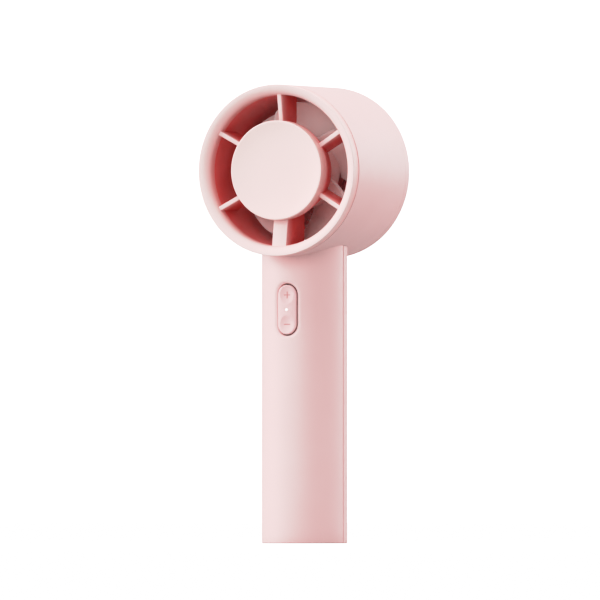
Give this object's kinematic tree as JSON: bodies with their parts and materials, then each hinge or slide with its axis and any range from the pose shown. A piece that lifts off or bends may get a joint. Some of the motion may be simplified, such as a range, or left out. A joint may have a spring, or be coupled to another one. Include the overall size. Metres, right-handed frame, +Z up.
{
  "type": "handheld electric fan",
  "caption": "Pocket fan with a round ducted head, fixed motor hub on radial struts, turning impeller and a straight round handle with a rocker key.",
  "frame": {"origin": "centre of the flat base, on the handle's axis", "axes": "+Z up along the handle, -Y the way the air is blown, +X to the right as seen from the front"},
  "size_m": [0.076, 0.06, 0.203],
  "materials": {
    "shell": "satin moulded shell, pale pink",
    "guard": "satin moulded guard, pale pink",
    "cap": "smooth satin cap, pale pink",
    "duct": "deep pink moulded liner",
    "blades": "smooth moulded blades, dusty pink",
    "key": "soft-touch key, pale pink",
    "light": "clear white light pipe",
    "pad": "soft non-slip pad",
    "inner_plastic": "natural moulded plastic",
    "board": "green circuit board",
    "chip": "black component body",
    "ceramic": "ceramic component",
    "steel": "plain steel",
    "bearing": "ground bearing steel",
    "alloy": "turned alloy",
    "laminations": "stacked electrical steel",
    "magnet": "bonded magnet",
    "winding": "enamelled copper wire",
    "cell_wrap": "shrink-wrapped cell",
    "nickel": "nickel strip",
    "foam": "foam disc",
    "lead_red": "insulated lead, red",
    "lead_black": "insulated lead, black",
    "brass": "turned brass"
  },
  "bodies": {
    "housing": {"body_shell": "shell", "rear_cover": "shell", "front_guard": "guard", "hub_cap": "cap", "air_duct": "duct", "rear_grille": "guard", "base_cap": "shell", "base_pad": "pad", "base_screws": "steel", "key_bracket": "inner_plastic", "bracket_screws": "steel", "main_board": "board", "board_screws": "steel", "tact_switches": "chip", "indicator_led": "light", "control_chip": "chip", "power_coil": "chip", "board_capacitors": "ceramic", "power_socket": "inner_plastic", "motor_socket": "inner_plastic", "charge_board": "board", "charge_board_screws": "steel", "usb_c_socket": "steel", "charge_chip": "chip", "battery_cell": "cell_wrap", "battery_cradle": "inner_plastic", "battery_pads": "foam", "cell_tabs": "nickel", "battery_leads": "lead_red", "charge_leads": "lead_black", "motor_leads": "lead_red", "motor_base": "alloy", "front_bearing": "bearing", "rear_bearing": "bearing", "motor_screws": "steel", "stator_core": "laminations", "stator_windings": "winding", "driver_board": "board", "driver_chip": "chip", "hall_sensors": "chip"},
    "rotor": {"rotor_can": "alloy", "magnet_ring": "magnet", "motor_shaft": "bearing", "shaft_clip": "steel", "preload_spring": "steel", "impeller": "blades", "impeller_insert": "brass", "impeller_washer": "steel", "impeller_nut": "steel"},
    "key": {"key_pad": "key", "light_pipe": "light"}
  },
  "joints": [
    {"name": "impeller_spin", "type": "hinge", "parent": "housing", "child": "rotor", "pos_m": [0, 0, 0.165], "axis": [0, -1, 0], "continuous": true},
    {"name": "key_rock", "type": "hinge", "parent": "housing", "child": "key", "pos_m": [0, -0.0142, 0.1035], "axis": [1, 0, 0], "range_deg": [-2.2, 2.2], "stiffness_Nm_per_rad": 0.05}
  ]
}
